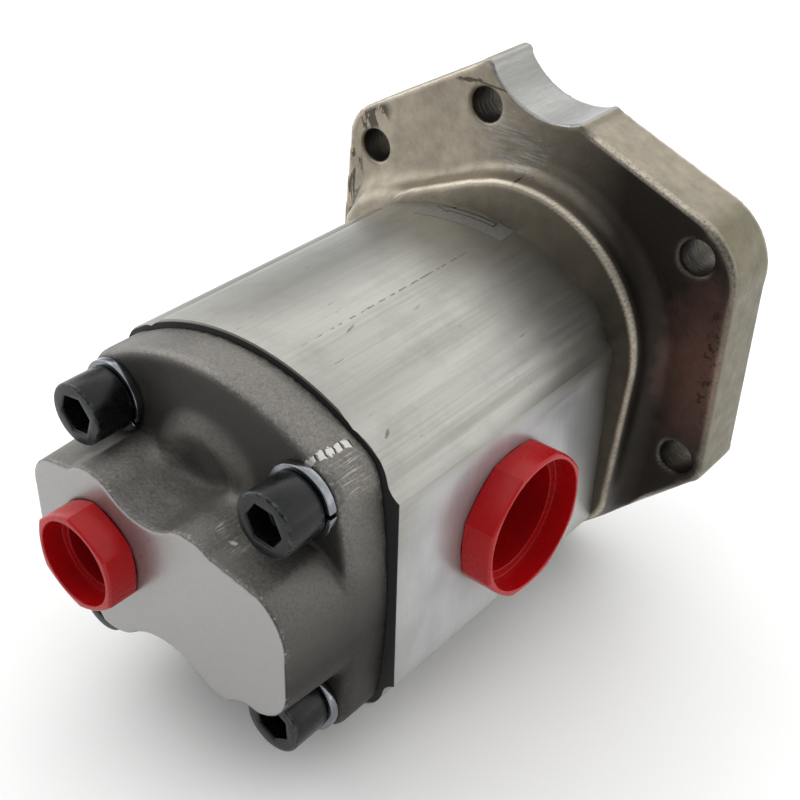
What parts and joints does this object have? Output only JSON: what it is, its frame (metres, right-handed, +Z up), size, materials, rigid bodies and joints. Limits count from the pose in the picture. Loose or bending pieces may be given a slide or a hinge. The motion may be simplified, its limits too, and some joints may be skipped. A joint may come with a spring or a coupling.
{
  "type": "hydraulic gear pump",
  "caption": "External gear pump with a cast mounting flange, an extruded body, a cast rear cover, a splined drive shaft and red port plugs.",
  "frame": {"origin": "the drive shaft's axis in the plane of the mounting face", "axes": "+Y along the drive shaft, out of the mounting face; +X towards the side port; +Z up, from the driven gear to the drive gear"},
  "size_m": [0.1437, 0.2113, 0.1613],
  "materials": {
    "flange_iron": "as cast, machined at the joint faces",
    "cover_iron": "as cast, machined on the port face",
    "body_aluminium": "extruded, brushed at the port face",
    "block_aluminium": "machined",
    "bearing_bronze": "smooth",
    "gear_steel": "ground",
    "seal_rubber": "matt",
    "backup_plastic": "matt",
    "spring_steel": "phosphated",
    "screw_steel": "black oxide",
    "washer_steel": "zinc plated",
    "red_plastic": "moulded"
  },
  "bodies": {
    "housing": {"mounting_flange": "flange_iron", "pump_body": "body_aluminium", "rear_cover": "cover_iron", "front_bearing_block": "block_aluminium", "rear_bearing_block": "block_aluminium", "front_bushes": "bearing_bronze", "rear_bushes": "bearing_bronze", "shaft_seal": "seal_rubber", "seal_retaining_ring": "spring_steel", "front_body_seal": "seal_rubber", "rear_body_seal": "seal_rubber", "front_balance_seal": "seal_rubber", "rear_balance_seal": "seal_rubber", "front_backup_ring": "backup_plastic", "rear_backup_ring": "backup_plastic", "front_dowels": "gear_steel", "rear_dowels": "gear_steel", "cover_screws": "screw_steel", "lock_washers": "washer_steel"},
    "drive_gear": {"drive_gear_shaft": "gear_steel"},
    "driven_gear": {"driven_gear_shaft": "gear_steel"},
    "side_plug": {"side_port_plug": "red_plastic"},
    "rear_plug": {"rear_port_plug": "red_plastic"}
  },
  "joints": [
    {"name": "drive_shaft_spin", "type": "hinge", "parent": "housing", "child": "drive_gear", "pos_m": [0, 0, 0], "axis": [0, 1, 0], "continuous": true},
    {"name": "driven_gear_spin", "type": "hinge", "parent": "housing", "child": "driven_gear", "pos_m": [0, 0, -0.045], "axis": [0, 1, 0], "continuous": true},
    {"name": "side_plug_pull", "type": "slide", "parent": "housing", "child": "side_plug", "axis": [1, 0, 0], "range_m": [0, 0.04]},
    {"name": "rear_plug_pull", "type": "slide", "parent": "housing", "child": "rear_plug", "axis": [0, -1, 0], "range_m": [0, 0.04]}
  ],
  "couplings": [
    {"joint": "driven_gear_spin", "follows": "drive_shaft_spin", "ratio": -1}
  ]
}
